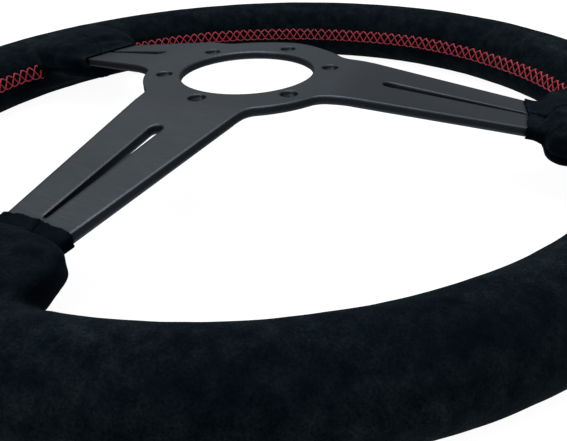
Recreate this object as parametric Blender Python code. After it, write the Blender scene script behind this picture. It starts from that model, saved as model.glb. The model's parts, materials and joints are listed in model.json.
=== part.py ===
"""Dished three-spoke suede steering wheel, without its hub adapter.

The wheel lies face down: the rim's front touches z = 0 and +Z points at the
steering column. The steering axis is x = y = 0. Seen from the column, +Y is
12 o'clock and +X is to the right. All lengths are in metres.
"""
import math

import bmesh
import bpy
from mathutils import Matrix, Vector

MM = 0.001

# Rim and grip
OUTER_RADIUS = 0.175
GRIP_RADIUS = 0.016
RIM_RADIUS = OUTER_RADIUS - GRIP_RADIUS
RIM_HEIGHT = GRIP_RADIUS
SUEDE_THICKNESS = 0.0014
GAP = 0.0003
RIM_STEPS = 60
GRIP_STEPS = 12
CORE_RADIUS = 0.005
CORE_STEPS = 8

# Lacing on the rim's inner side, turned a little towards the column
SEAM_ANGLE = math.radians(4)
SEAM_WIDTH = 0.0008
LACING_WIDTH = 0.0066
THREAD_DIAMETER = 0.0008

# Spoke plate
HUB_BACK = 0.0385
PLATE_THICKNESS = 0.0035
EDGE_RADIUS = 0.001
HUB_RADIUS = 0.0434
CROWN_HEIGHT = 0.0015
CROWN_HALF_ANGLE = math.radians(24)
CENTRE_HOLE_RADIUS = 0.0281
HOLE_CHAMFER = 0.0004
BOLT_CIRCLE_RADIUS = 0.035
BOLT_COUNT = 6
BOLT_MOUTH_RADIUS = 0.0035
BOLT_MOUTH_DEPTH = 0.0012
BOLT_RADIUS = 0.00265
BOLT_CONE_DEPTH = 0.0022
SPOKE_HALF_WIDTH = 0.0213
WIDTH_REACH = 0.055
SPOKE_TAPER = 0.122
SPOKE_SLOPE = 0.156
BEND_HALF_LENGTH = 0.0045
SPOKE_END = 0.140
TIP_RADIUS = 0.003
UPPER_FILLET = 0.012
LOWER_FILLET = 0.008
SLOT_START = 0.0572
SLOT_END = 0.113
SLOT_WIDE_RADIUS = 0.00285
SLOT_NARROW_RADIUS = 0.0009

# Spoke ends inside the grip
BRACKET_THICKNESS = 0.002
BRACKET_WIDTH = 0.020
BRACKET_START = 0.127
BRACKET_FLAT_END = 0.140
BRACKET_END = 0.1532
RIVET_REACH = 0.1345
RIVET_OFFSET = 0.0055
RIVET_RADIUS = 0.0024
RIVET_HOLE_RADIUS = 0.0028
RIVET_HEAD_RADIUS = 0.0042
RIVET_HEAD_HEIGHT = 0.0015

# Suede round the spoke ends
COLLAR_THICKNESS = 0.0008
BOSS_LIP = 0.003
BOSS_RISE = 0.0038
BOSS_SINK = 0.0062
BOSS_FLARE = 0.027
BOSS_TOP = 0.0326
BOSS_MIDDLE = 0.025
BOSS_BOTTOM = 0.0137
BOSS_STEPS = 16
BACK_SQUARENESS = 0.6
FRONT_SQUARENESS = 0.8

# Each spoke: its angle, where it bends, its edges' fillets, where its collar
# and its padded boss start, and how wide the boss is
SPOKES = {
    "right": dict(
        angle=math.radians(13),
        bend=0.045,
        fillets=(LOWER_FILLET, UPPER_FILLET),
        collar=0.1125,
        boss=0.1186,
        boss_half_width=0.0243,
    ),
    "left": dict(
        angle=math.radians(167),
        bend=0.0445,
        fillets=(UPPER_FILLET, LOWER_FILLET),
        collar=0.1050,
        boss=0.1075,
        boss_half_width=0.0243,
    ),
    "lower": dict(
        angle=math.radians(270),
        bend=0.0395,
        fillets=(LOWER_FILLET, LOWER_FILLET),
        collar=0.1155,
        boss=0.1222,
        boss_half_width=0.0253,
    ),
}
ORDER = ("right", "left", "lower")


def material(name, colour, roughness, metallic):
    """A plain Principled material."""
    made = bpy.data.materials.new(name)
    made.use_nodes = True
    shader = made.node_tree.nodes["Principled BSDF"]
    shader.inputs["Base Color"].default_value = (*colour, 1.0)
    shader.inputs["Roughness"].default_value = roughness
    shader.inputs["Metallic"].default_value = metallic
    return made


def new_object(name, bm, finish=None):
    """Turns a bmesh into a named object, shaded smooth between sharp edges."""
    bmesh.ops.recalc_face_normals(bm, faces=bm.faces)
    mesh = bpy.data.meshes.new(name)
    bm.to_mesh(mesh)
    bm.free()
    mesh.shade_smooth()
    mesh.set_sharp_from_angle(angle=math.radians(35))
    made = bpy.data.objects.new(name, mesh)
    bpy.context.scene.collection.objects.link(made)
    if finish:
        mesh.materials.append(finish)
    return made


def combine(target, tool, operation):
    """Applies one exact Boolean to target and removes the tool."""
    step = target.modifiers.new(operation.lower(), "BOOLEAN")
    step.operation = operation
    step.solver = "EXACT"
    step.object = tool
    bpy.context.view_layer.update()
    graph = bpy.context.evaluated_depsgraph_get()
    result = bpy.data.meshes.new_from_object(target.evaluated_get(graph))
    old = target.data
    target.modifiers.clear()
    target.data = result
    bpy.data.meshes.remove(old)
    bpy.data.objects.remove(tool)


def copy_object(source, name):
    """An independent copy of an object and its mesh."""
    made = bpy.data.objects.new(name, source.data.copy())
    bpy.context.scene.collection.objects.link(made)
    return made


def tidy(target, finish):
    """Names the mesh and gives it one material, smooth between sharp edges."""
    target.data.name = target.name
    target.data.materials.clear()
    target.data.materials.append(finish)
    target.data.shade_smooth()
    target.data.set_sharp_from_angle(angle=math.radians(35))


def spoke_point(spoke, reach, side, height):
    """A point given along a spoke, across it, and above the floor."""
    turn = spoke["angle"]
    x = reach * math.cos(turn) - side * math.sin(turn)
    y = reach * math.sin(turn) + side * math.cos(turn)
    return Vector((x, y, height))


def half_width(reach):
    """The spoke's half width at a distance from the steering axis."""
    return SPOKE_HALF_WIDTH - SPOKE_TAPER * (reach - WIDTH_REACH)


def bend_stations(spoke):
    """Distances at which the soft bend's flat strips meet."""
    middle = spoke["bend"]
    return [middle + BEND_HALF_LENGTH * part for part in (-1, -1 / 3, 1 / 3, 1)]


def bend_drop(spoke, reach):
    """How far the plate has sunk below the hub's face at this distance."""
    stations = bend_stations(spoke)
    if reach <= stations[0]:
        return 0.0
    drop = 0.0
    step = stations[1] - stations[0]
    for number in range(3):
        slope = SPOKE_SLOPE * (number + 1) / 4
        length = min(max(reach - stations[number], 0.0), step)
        drop += slope * length
    drop += SPOKE_SLOPE * max(reach - stations[3], 0.0)
    return drop


def plate_top(spoke, reach):
    """Height of the plate's back face along a spoke."""
    return HUB_BACK - bend_drop(spoke, reach)


def prism(name, spoke, outline, half, finish=None):
    """A side outline of (reach, height) points, made thick across a spoke."""
    bm = bmesh.new()
    lower = [bm.verts.new(spoke_point(spoke, s, -half, z)) for s, z in outline]
    upper = [bm.verts.new(spoke_point(spoke, s, half, z)) for s, z in outline]
    bm.faces.new(lower)
    bm.faces.new(list(reversed(upper)))
    count = len(outline)
    for i in range(count):
        j = (i + 1) % count
        bm.faces.new((lower[j], lower[i], upper[i], upper[j]))
    return new_object(name, bm, finish)


def skin(bm, rings, closed):
    """Joins rings of vertices, either round and round or with end caps."""
    count = len(rings[0])
    pairs = len(rings) if closed else len(rings) - 1
    for i in range(pairs):
        a = rings[i]
        b = rings[(i + 1) % len(rings)]
        for j in range(count):
            k = (j + 1) % count
            bm.faces.new((a[j], a[k], b[k], b[j]))
    if not closed:
        bm.faces.new(list(reversed(rings[0])))
        bm.faces.new(rings[-1])


def sweep(name, section, start=None, end=None, finish=None):
    """Sweeps a section of (radial, height) offsets along the rim's circle.

    Whole rings and arcs use the same stations, so that the facets of nested
    pieces run parallel to each other.
    """
    whole = start is None
    pitch = 2 * math.pi / RIM_STEPS
    if whole:
        angles = [pitch * i for i in range(RIM_STEPS)]
    else:
        first = math.floor(start / pitch) + 1
        last = math.ceil(end / pitch)
        angles = [start] + [pitch * i for i in range(first, last)] + [end]
    bm = bmesh.new()
    rings = []
    for angle in angles:
        # A station between two corners of the ring lies on its flat side
        near = round(angle / pitch) * pitch
        if abs(angle - near) < 1e-6:
            shrink = 1.0
        else:
            inside = angle - math.floor(angle / pitch) * pitch - pitch / 2
            shrink = math.cos(pitch / 2) / math.cos(inside)
        ring = []
        for radial, height in section:
            r = (RIM_RADIUS + radial) * shrink
            point = (r * math.cos(angle), r * math.sin(angle), RIM_HEIGHT + height)
            ring.append(bm.verts.new(point))
        rings.append(ring)
    skin(bm, rings, whole)
    return new_object(name, bm, finish)


def round_section(radius, steps):
    """A round section as (radial, height) offsets."""
    turn = 2 * math.pi / steps
    return [(radius * math.cos(turn * i), radius * math.sin(turn * i)) for i in range(steps)]


def seam_section(inner, outer, half_width_):
    """A box across the seam, from one radius of the grip to another."""
    middle = math.pi - SEAM_ANGLE
    across = Vector((-math.sin(middle), math.cos(middle)))
    along = Vector((math.cos(middle), math.sin(middle)))
    corners = ((inner, -1), (outer, -1), (outer, 1), (inner, 1))
    points = [along * r + across * half_width_ * side for r, side in corners]
    return [(point.x, point.y) for point in points]


def lacing_section():
    """A thin band that follows the grip's surface across the seam."""
    middle = math.pi - SEAM_ANGLE
    inner = GRIP_RADIUS + GAP
    outer = inner + THREAD_DIAMETER
    half = LACING_WIDTH / 2 / GRIP_RADIUS
    parts = [-1, 0, 1]
    bottom = [(inner, middle + half * part) for part in parts]
    top = [(outer, middle + half * part) for part in reversed(parts)]
    return [(r * math.cos(a), r * math.sin(a)) for r, a in bottom + top]


def boss_loft(name, spoke, inset):
    """The padded swelling from a spoke into the rim, shrunk by inset."""
    start = spoke["boss"]
    begin = start + inset
    lip = half_width(spoke["collar"]) + BOSS_LIP
    rise = plate_top(spoke, start) + BOSS_RISE
    sink = plate_top(spoke, start) - BOSS_SINK
    wide = spoke["boss_half_width"]
    middle = BOSS_MIDDLE
    base = BOSS_BOTTOM
    # Distance, half width, top, widest height and bottom at each section
    sections = (
        (begin, lip, rise, middle, sink),
        (begin + 0.0012, wide - 0.0048, (rise + BOSS_TOP) / 2, middle, base + 0.0039),
        (begin + 0.0040, wide - 0.0021, BOSS_TOP, middle, base + 0.0012),
        (begin + 0.0080, wide, BOSS_TOP, middle, base),
        (0.134, wide + 0.0017, BOSS_TOP - 0.0002, middle - 0.002, base - 0.0022),
        (0.140, BOSS_FLARE, BOSS_TOP - 0.0004, middle - 0.005, base - 0.0052),
        (RIM_RADIUS, BOSS_FLARE, BOSS_TOP - 0.0016, RIM_HEIGHT, base - 0.0107),
    )
    bm = bmesh.new()
    rings = []
    for reach, half, top, centre, bottom in sections:
        ring = []
        for i in range(BOSS_STEPS):
            turn = 2 * math.pi * (i + 0.5) / BOSS_STEPS
            c = math.cos(turn)
            s = math.sin(turn)
            if s > 0:
                power = BACK_SQUARENESS
                tall = top - centre - inset
            else:
                power = FRONT_SQUARENESS
                tall = centre - bottom - inset
            side = (half - inset) * math.copysign(abs(c) ** power, c)
            height = centre + tall * math.copysign(abs(s) ** power, s)
            ring.append(bm.verts.new(spoke_point(spoke, reach, side, height)))
        rings.append(ring)
    skin(bm, rings, False)
    return new_object(name, bm)


def grip_body(name, inset):
    """The whole grip, rim and three bosses, as one solid shrunk by inset."""
    body = sweep(name, round_section(GRIP_RADIUS - inset, GRIP_STEPS))
    for key in ORDER:
        combine(body, boss_loft("boss_" + key, SPOKES[key], inset), "UNION")
    return body


def sleeve_outline(spoke, start, end, clearance):
    """Side outline that wraps the plate at a given clearance."""
    top = [(s, plate_top(spoke, s) + clearance) for s in (start, end)]
    base = [(s, plate_top(spoke, s) - PLATE_THICKNESS - clearance) for s in (end, start)]
    return top + base


def hub_radius(angle):
    """Radius of the hub's edge, with the crown at 12 o'clock."""
    away = abs(angle - math.pi / 2)
    if away >= CROWN_HALF_ANGLE:
        return HUB_RADIUS
    wave = math.cos(math.pi / 2 * away / CROWN_HALF_ANGLE)
    return HUB_RADIUS + CROWN_HEIGHT * wave * wave


def fillet_points(radius, side):
    """The concave corner between a spoke's straight edge and the hub circle.

    The points are (reach, across), from the straight edge to the hub.
    """
    length = math.hypot(1, SPOKE_TAPER)
    along = Vector((1, -SPOKE_TAPER)) / length
    out = Vector((SPOKE_TAPER, 1)) / length
    offset = out.dot(Vector((WIDTH_REACH, SPOKE_HALF_WIDTH)))
    travel = math.sqrt((HUB_RADIUS + radius) ** 2 - (offset + radius) ** 2)
    centre = out * (offset + radius) + along * travel
    first = -out
    last = -centre.normalized()
    start = math.atan2(first.y, first.x)
    sweep_angle = first.angle_signed(last)
    steps = 7
    points = []
    for i in range(steps + 1):
        turn = start - sweep_angle * i / steps
        point = centre + radius * Vector((math.cos(turn), math.sin(turn)))
        points.append(Vector((point.x, point.y * side)))
    return points


def tip_points():
    """The round-cornered free end of a spoke, from one edge to the other."""
    points = []
    steps = 4
    for side in (-1, 1):
        corner = Vector((SPOKE_END - TIP_RADIUS, side * (half_width(SPOKE_END) - TIP_RADIUS)))
        for i in range(steps + 1):
            turn = (i / steps - (1 if side < 0 else 0)) * math.pi / 2
            arm = Vector((math.cos(turn), math.sin(turn)))
            points.append(corner + TIP_RADIUS * arm)
    return points


def plate_outline():
    """The flat plate's edge, anticlockwise, as points in the plane."""
    points = []
    for number, key in enumerate(ORDER):
        spoke = SPOKES[key]
        before, after = spoke["fillets"]
        lower = list(reversed(fillet_points(before, -1)))
        upper = fillet_points(after, 1)
        for point in lower + tip_points() + upper:
            placed = spoke_point(spoke, point.x, point.y, 0)
            points.append(placed.xy)
        # The hub's edge as far as the next spoke
        following = SPOKES[ORDER[(number + 1) % len(ORDER)]]
        first = points[-1]
        begin = math.atan2(first.y, first.x)
        entry = fillet_points(following["fillets"][0], -1)[-1]
        target = spoke_point(following, entry.x, entry.y, 0)
        finish = math.atan2(target.y, target.x)
        span = (finish - begin) % (2 * math.pi)
        steps = max(2, round(math.degrees(span) / 3))
        for i in range(1, steps):
            angle = begin + span * i / steps
            r = hub_radius(angle)
            points.append(Vector((r * math.cos(angle), r * math.sin(angle))))
    return points


def turned(name, profile, steps, place):
    """A solid turned about the Z axis of place from (radius, height) points.

    The profile starts and ends on the axis.
    """
    bm = bmesh.new()
    bottom = bm.verts.new(place @ Vector((0, 0, profile[0][1])))
    top = bm.verts.new(place @ Vector((0, 0, profile[-1][1])))
    rings = []
    for radius, height in profile[1:-1]:
        ring = []
        for i in range(steps):
            turn = 2 * math.pi * i / steps
            point = Vector((radius * math.cos(turn), radius * math.sin(turn), height))
            ring.append(bm.verts.new(place @ point))
        rings.append(ring)
    for a, b in zip(rings, rings[1:]):
        for i in range(steps):
            j = (i + 1) % steps
            bm.faces.new((a[i], a[j], b[j], b[i]))
    for i in range(steps):
        j = (i + 1) % steps
        bm.faces.new((bottom, rings[0][j], rings[0][i]))
        bm.faces.new((top, rings[-1][i], rings[-1][j]))
    return new_object(name, bm)


def slot_cutter(spoke):
    """A tapered slot with round ends, cut square through the spoke."""
    wide = SLOT_START + SLOT_WIDE_RADIUS
    narrow = SLOT_END - SLOT_NARROW_RADIUS
    lean = math.asin((SLOT_WIDE_RADIUS - SLOT_NARROW_RADIUS) / (narrow - wide))
    points = []
    steps = 8
    for i in range(steps + 1):
        turn = math.pi / 2 - lean + (math.pi + 2 * lean) * i / steps
        arm = Vector((math.cos(turn), math.sin(turn)))
        points.append(Vector((wide, 0)) + SLOT_WIDE_RADIUS * arm)
    steps = 4
    for i in range(steps + 1):
        turn = -math.pi / 2 + lean + (math.pi - 2 * lean) * i / steps
        arm = Vector((math.cos(turn), math.sin(turn)))
        points.append(Vector((narrow, 0)) + SLOT_NARROW_RADIUS * arm)
    bm = bmesh.new()
    low = [bm.verts.new(spoke_point(spoke, p.x, p.y, 0.005)) for p in points]
    high = [bm.verts.new(spoke_point(spoke, p.x, p.y, 0.060)) for p in points]
    skin(bm, [low, high], False)
    return new_object("slot_cutter", bm)


def make_plate(finish):
    """Hub and three bent spokes, cut from one sheet."""
    bm = bmesh.new()
    corners = [bm.verts.new((p.x, p.y, HUB_BACK)) for p in plate_outline()]
    bm.faces.new(corners)
    for key in ORDER:
        spoke = SPOKES[key]
        for reach in bend_stations(spoke):
            bmesh.ops.bisect_plane(
                bm,
                geom=bm.verts[:] + bm.edges[:] + bm.faces[:],
                plane_co=spoke_point(spoke, reach, 0, 0),
                plane_no=spoke_point(spoke, 1, 0, 0),
            )
    back = list(bm.faces)
    front = bmesh.ops.extrude_face_region(bm, geom=back)["geom"]
    for vert in (item for item in front if isinstance(item, bmesh.types.BMVert)):
        vert.co.z -= PLATE_THICKNESS
    for vert in bm.verts:
        for key in ORDER:
            spoke = SPOKES[key]
            reach = vert.co.xy.dot(spoke_point(spoke, 1, 0, 0).xy)
            vert.co.z -= bend_drop(spoke, reach)
    bmesh.ops.recalc_face_normals(bm, faces=bm.faces)
    rim_edges = [
        edge
        for edge in bm.edges
        if edge.calc_face_angle(0) > math.radians(60)
        and abs(edge.verts[0].co.xy.length - edge.verts[1].co.xy.length) < 1
        and abs(edge.verts[0].co.z - edge.verts[1].co.z) < PLATE_THICKNESS / 2
    ]
    bmesh.ops.bevel(
        bm,
        geom=rim_edges,
        offset=EDGE_RADIUS,
        segments=3,
        profile=0.5,
        affect="EDGES",
        clamp_overlap=True,
    )
    plate = new_object("spoke_plate", bm, finish)
    top = HUB_BACK
    base = HUB_BACK - PLATE_THICKNESS
    chamfer = HOLE_CHAMFER
    hole = CENTRE_HOLE_RADIUS
    bore = [
        (0, base - 0.002),
        (hole + chamfer + 0.002, base - 0.002),
        (hole, base + chamfer),
        (hole, top - chamfer),
        (hole + chamfer + 0.002, top + 0.002),
        (0, top + 0.002),
    ]
    combine(plate, turned("bore_cutter", bore, 72, Matrix.Identity(4)), "DIFFERENCE")
    mouth = [
        (0, base - 0.002),
        (BOLT_RADIUS, base - 0.002),
        (BOLT_RADIUS, top - BOLT_CONE_DEPTH),
        (BOLT_MOUTH_RADIUS, top - BOLT_MOUTH_DEPTH),
        (BOLT_MOUTH_RADIUS, top + 0.002),
        (0, top + 0.002),
    ]
    for number in range(BOLT_COUNT):
        turn = math.radians(30) + 2 * math.pi * number / BOLT_COUNT
        spot = (BOLT_CIRCLE_RADIUS * math.cos(turn), BOLT_CIRCLE_RADIUS * math.sin(turn), 0)
        cutter = turned("bolt_cutter", mouth, 24, Matrix.Translation(spot))
        combine(plate, cutter, "DIFFERENCE")
    for key in ORDER:
        spoke = SPOKES[key]
        combine(plate, slot_cutter(spoke), "DIFFERENCE")
        for side in (-1, 1):
            cutter = rivet_shape("rivet_hole", spoke, side, RIVET_HOLE_RADIUS, None)
            combine(plate, cutter, "DIFFERENCE")
    tidy(plate, finish)
    return plate


def rivet_place(spoke, side):
    """Rivet axis, square to the sloping spoke, from its place on the plate."""
    spot = spoke_point(spoke, RIVET_REACH, side * RIVET_OFFSET, plate_top(spoke, RIVET_REACH))
    lean = Matrix.Rotation(math.atan(SPOKE_SLOPE), 4, "Y")
    turn = Matrix.Rotation(spoke["angle"], 4, "Z")
    return Matrix.Translation(spot) @ turn @ lean


def rivet_shape(name, spoke, side, shank, head):
    """A rivet, or with no head the plain pin that cuts its hole."""
    grip = PLATE_THICKNESS + BRACKET_THICKNESS + 2 * GAP
    if head is None:
        profile = [(0, -grip - 0.004), (shank, -grip - 0.004), (shank, 0.004), (0, 0.004)]
        return turned(name, profile, 16, rivet_place(spoke, side))
    low = -grip - GAP
    profile = [
        (0, low - RIVET_HEAD_HEIGHT * 0.5),
        (head * 0.7, low - RIVET_HEAD_HEIGHT * 0.5),
        (head * 0.85, low),
        (shank, low),
        (shank, GAP),
        (head, GAP),
        (head * 0.8, GAP + RIVET_HEAD_HEIGHT * 0.6),
        (head * 0.4, GAP + RIVET_HEAD_HEIGHT),
        (0, GAP + RIVET_HEAD_HEIGHT),
    ]
    return turned(name, profile, 16, rivet_place(spoke, side))


def make_bracket(key, finish):
    """A steel strap from under the plate's end to the rim's core ring."""
    spoke = SPOKES[key]
    gap = GAP + BRACKET_THICKNESS / 2
    middle = [
        (s, plate_top(spoke, s) - PLATE_THICKNESS - gap)
        for s in (BRACKET_START, BRACKET_FLAT_END)
    ]
    middle += [(BRACKET_END, RIM_HEIGHT)]
    half = BRACKET_THICKNESS / 2
    outline = [(s, z + half) for s, z in middle] + [(s, z - half) for s, z in reversed(middle)]
    strap = prism("bracket_" + key, spoke, outline, BRACKET_WIDTH / 2, finish)
    for side in (-1, 1):
        cutter = rivet_shape("strap_hole", spoke, side, RIVET_HOLE_RADIUS, None)
        combine(strap, cutter, "DIFFERENCE")
    tidy(strap, finish)


def make_collar(key, finish):
    """A suede sleeve wrapped closely round the spoke."""
    spoke = SPOKES[key]
    start = spoke["collar"]
    end = min(spoke["boss"] + 0.004, BRACKET_START - 2 * GAP)
    outer = GAP + COLLAR_THICKNESS
    width = half_width(start)
    sleeve = prism(
        "suede_collar_" + key, spoke, sleeve_outline(spoke, start, end, outer), width + outer, finish
    )
    hole = sleeve_outline(spoke, start - 0.01, end + 0.01, GAP)
    combine(sleeve, prism("sleeve_hole", spoke, hole, width + GAP), "DIFFERENCE")
    tidy(sleeve, finish)


def spoke_passage(spoke):
    """The opening through the boss's suede, round plate and collar."""
    start = spoke["collar"] - 0.01
    end = spoke["boss"] + 0.006
    room = 2 * GAP + COLLAR_THICKNESS
    outline = sleeve_outline(spoke, start, end, room)
    return prism("passage", spoke, outline, half_width(spoke["collar"]) + room)


def spoke_pocket(spoke):
    """The room in the foam for the spoke's end, its rivets and its bracket."""
    def top(s, lift):
        return (s, plate_top(spoke, s) + lift)

    below = PLATE_THICKNESS + BRACKET_THICKNESS
    room = 2 * GAP + COLLAR_THICKNESS + 0.0001
    outline = [
        top(spoke["boss"] - 0.005, room),
        top(BRACKET_START - 0.001, room),
        top(RIVET_REACH - 0.0055, GAP + RIVET_HEAD_HEIGHT + 0.0005),
        top(SPOKE_END + 0.002, GAP + RIVET_HEAD_HEIGHT + 0.0005),
        (0.146, RIM_HEIGHT + 0.0035),
        (0.156, RIM_HEIGHT + 0.0035),
        (0.156, RIM_HEIGHT - 0.0025),
        (0.147, RIM_HEIGHT - 0.0025),
        top(RIVET_REACH - 0.0040, -below - 0.0021),
        top(BRACKET_START - 0.001, -below - 0.0009),
        top(BRACKET_START - 0.001, -PLATE_THICKNESS - room),
        top(spoke["boss"] - 0.005, -PLATE_THICKNESS - room),
    ]
    return prism("pocket", spoke, outline, half_width(spoke["collar"]) + room)


def block(name, low, high):
    """A box between two corners."""
    bm = bmesh.new()
    bmesh.ops.create_cube(bm, size=1)
    size = Vector(high) - Vector(low)
    middle = (Vector(high) + Vector(low)) / 2
    for vert in bm.verts:
        vert.co = Vector((vert.co.x * size.x, vert.co.y * size.y, vert.co.z * size.z)) + middle
    return new_object(name, bm)


def keep_main_body(target):
    """Drops the thin slips of foam that a pocket cuts loose."""
    bm = bmesh.new()
    bm.from_mesh(target.data)
    bodies = []
    waiting = set(bm.verts)
    while waiting:
        first = min(waiting, key=lambda vert: vert.index)
        body = {first}
        front = [first]
        while front:
            vert = front.pop()
            for edge in vert.link_edges:
                other = edge.other_vert(vert)
                if other not in body:
                    body.add(other)
                    front.append(other)
        bodies.append(body)
        waiting -= body
    bodies.sort(key=len)
    for body in bodies[:-1]:
        bmesh.ops.delete(bm, geom=list(body), context="VERTS")
    bm.to_mesh(target.data)
    bm.free()


def make_foam(finish):
    """The moulded foam, as its back and front halves round the core."""
    whole = grip_body("foam", SUEDE_THICKNESS + GAP)
    reach = OUTER_RADIUS + 0.01
    halves = {
        "foam_back": (RIM_HEIGHT + GAP / 2, 0.05),
        "foam_front": (-0.01, RIM_HEIGHT - GAP / 2),
    }
    for name, (low, high) in halves.items():
        half = copy_object(whole, name)
        combine(half, block("half", (-reach, -reach, low), (reach, reach, high)), "INTERSECT")
        groove = sweep("groove", round_section(CORE_RADIUS + 0.0008, CORE_STEPS))
        combine(half, groove, "DIFFERENCE")
        for key in ORDER:
            combine(half, spoke_pocket(SPOKES[key]), "DIFFERENCE")
        keep_main_body(half)
        tidy(half, finish)
    bpy.data.objects.remove(whole)


def boss_half_angle(spoke):
    """Half the angle that a boss takes up on the rim's inner side."""
    return math.atan((BOSS_FLARE + 0.0005) / (RIM_RADIUS - GRIP_RADIUS))


def wedge(name, start, end):
    """A tall wedge about the steering axis between two angles."""
    reach = 0.5
    steps = 4
    angles = [start + (end - start) * i / steps for i in range(steps + 1)]
    bm = bmesh.new()
    flat = [Vector((0, 0))] + [Vector((reach * math.cos(a), reach * math.sin(a))) for a in angles]
    low = [bm.verts.new((p.x, p.y, -0.02)) for p in flat]
    high = [bm.verts.new((p.x, p.y, 0.06)) for p in flat]
    skin(bm, [low, high], False)
    return new_object(name, bm)


def make_suede_and_lacing(suede, thread):
    """Three sewn panels of suede, butted at the spokes, and their lacing."""
    skin_body = grip_body("suede", 0)
    combine(skin_body, grip_body("inside", SUEDE_THICKNESS), "DIFFERENCE")
    for key in ORDER:
        combine(skin_body, spoke_passage(SPOKES[key]), "DIFFERENCE")
    names = ("upper", "lower_left", "lower_right")
    for number, name in enumerate(names):
        first = SPOKES[ORDER[number]]
        second = SPOKES[ORDER[(number + 1) % len(ORDER)]]
        start = first["angle"]
        end = start + (second["angle"] - start) % (2 * math.pi)
        cut = GAP / 2 / RIM_RADIUS
        panel = copy_object(skin_body, "suede_panel_" + name)
        combine(panel, wedge("wedge", start + cut, end - cut), "INTERSECT")
        arc_start = start + boss_half_angle(first)
        arc_end = end - boss_half_angle(second)
        gap_section = seam_section(GRIP_RADIUS - 0.004, GRIP_RADIUS + 0.002, SEAM_WIDTH / 2)
        combine(panel, sweep("seam", gap_section, arc_start, arc_end), "DIFFERENCE")
        tidy(panel, suede)
        sweep("lacing_" + name, lacing_section(), arc_start, arc_end, thread)
    bpy.data.objects.remove(skin_body)


def main():
    for item in list(bpy.data.objects):
        bpy.data.objects.remove(item)
    black_plate = material("anodised_plate", (0.055, 0.063, 0.070), 0.42, 0.85)
    suede = material("suede", (0.012, 0.015, 0.018), 0.95, 0.0)
    thread = material("red_thread", (0.48, 0.045, 0.055), 0.70, 0.0)
    steel = material("steel", (0.42, 0.43, 0.44), 0.45, 1.0)
    rivet_metal = material("rivet_aluminium", (0.70, 0.70, 0.70), 0.35, 1.0)
    foam = material("foam", (0.05, 0.05, 0.05), 0.90, 0.0)

    make_plate(black_plate)
    sweep("rim_core", round_section(CORE_RADIUS, CORE_STEPS), finish=steel)
    for key in ORDER:
        make_bracket(key, steel)
        make_collar(key, suede)
        for side, letter in ((-1, "a"), (1, "b")):
            name = "rivet_" + key + "_" + letter
            rivet = rivet_shape(name, SPOKES[key], side, RIVET_RADIUS, RIVET_HEAD_RADIUS)
            tidy(rivet, rivet_metal)
    make_foam(foam)
    make_suede_and_lacing(suede, thread)


main()
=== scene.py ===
"""Looks of a dished three-spoke suede steering wheel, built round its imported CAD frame.

The wheel lies face down with its steering axis on Z. The grip's suede, the
collars round the spokes and every stitch of the lacing are modelled here. The
spoke plate keeps its CAD mesh. Shapes are worked out in millimetres and turned
into metres when a mesh is made.
"""
import json
import math

import bmesh
import bpy
import numpy as np
from mathutils import Matrix, Vector

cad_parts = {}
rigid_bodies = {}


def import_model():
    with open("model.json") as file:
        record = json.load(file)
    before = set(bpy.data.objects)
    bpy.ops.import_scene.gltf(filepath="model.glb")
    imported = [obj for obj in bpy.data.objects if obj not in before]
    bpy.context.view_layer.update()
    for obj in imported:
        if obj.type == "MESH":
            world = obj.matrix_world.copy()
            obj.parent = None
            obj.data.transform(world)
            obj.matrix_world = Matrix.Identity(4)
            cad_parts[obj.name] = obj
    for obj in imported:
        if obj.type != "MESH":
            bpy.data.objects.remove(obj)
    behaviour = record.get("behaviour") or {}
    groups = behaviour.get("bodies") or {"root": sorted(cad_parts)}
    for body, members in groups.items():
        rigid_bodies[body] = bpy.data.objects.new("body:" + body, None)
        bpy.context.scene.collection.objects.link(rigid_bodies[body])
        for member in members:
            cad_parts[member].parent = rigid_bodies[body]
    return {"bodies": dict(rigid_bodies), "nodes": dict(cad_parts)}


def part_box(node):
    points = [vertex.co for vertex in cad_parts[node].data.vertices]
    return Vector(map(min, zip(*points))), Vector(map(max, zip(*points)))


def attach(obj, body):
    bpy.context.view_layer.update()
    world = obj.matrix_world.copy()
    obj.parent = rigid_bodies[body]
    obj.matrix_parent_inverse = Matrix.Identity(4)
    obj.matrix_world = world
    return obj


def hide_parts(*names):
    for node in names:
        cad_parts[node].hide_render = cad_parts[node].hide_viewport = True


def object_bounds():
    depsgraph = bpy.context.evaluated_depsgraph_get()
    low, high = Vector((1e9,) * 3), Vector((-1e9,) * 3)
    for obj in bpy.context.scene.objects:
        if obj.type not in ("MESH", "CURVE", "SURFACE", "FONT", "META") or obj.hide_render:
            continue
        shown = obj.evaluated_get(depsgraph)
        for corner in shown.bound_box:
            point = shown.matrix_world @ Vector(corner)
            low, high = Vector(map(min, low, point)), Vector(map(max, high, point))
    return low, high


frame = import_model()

CAD_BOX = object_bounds()
BODY = next(iter(frame["bodies"]))
MM = 0.001

# Rim and hub, read from the frame, in millimetres. The grip lies on the floor,
# so its radius is the height of its core.
CORE_LOW, CORE_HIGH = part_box("rim_core")
RIM_HEIGHT = (CORE_LOW.z + CORE_HIGH.z) / 2 / MM
GRIP_RADIUS = RIM_HEIGHT
OUTER_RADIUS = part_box("suede_panel_upper")[1].y / MM
RIM_RADIUS = OUTER_RADIUS - GRIP_RADIUS
HUB_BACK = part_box("spoke_plate")[1].z / MM

# Spoke plate outward of its bend: its fall, its half width at one reach and how
# much that shrinks, for each millimetre outward, and its thickness
SPOKE_SLOPE = 0.156
SPOKE_HALF_WIDTH = 21.3
WIDTH_REACH = 55.0
SPOKE_TAPER = 0.122
PLATE_THICKNESS = 3.5

# Beyond this reach along a spoke a place counts as near the spoke's end
END_REACH = 90.0

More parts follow.
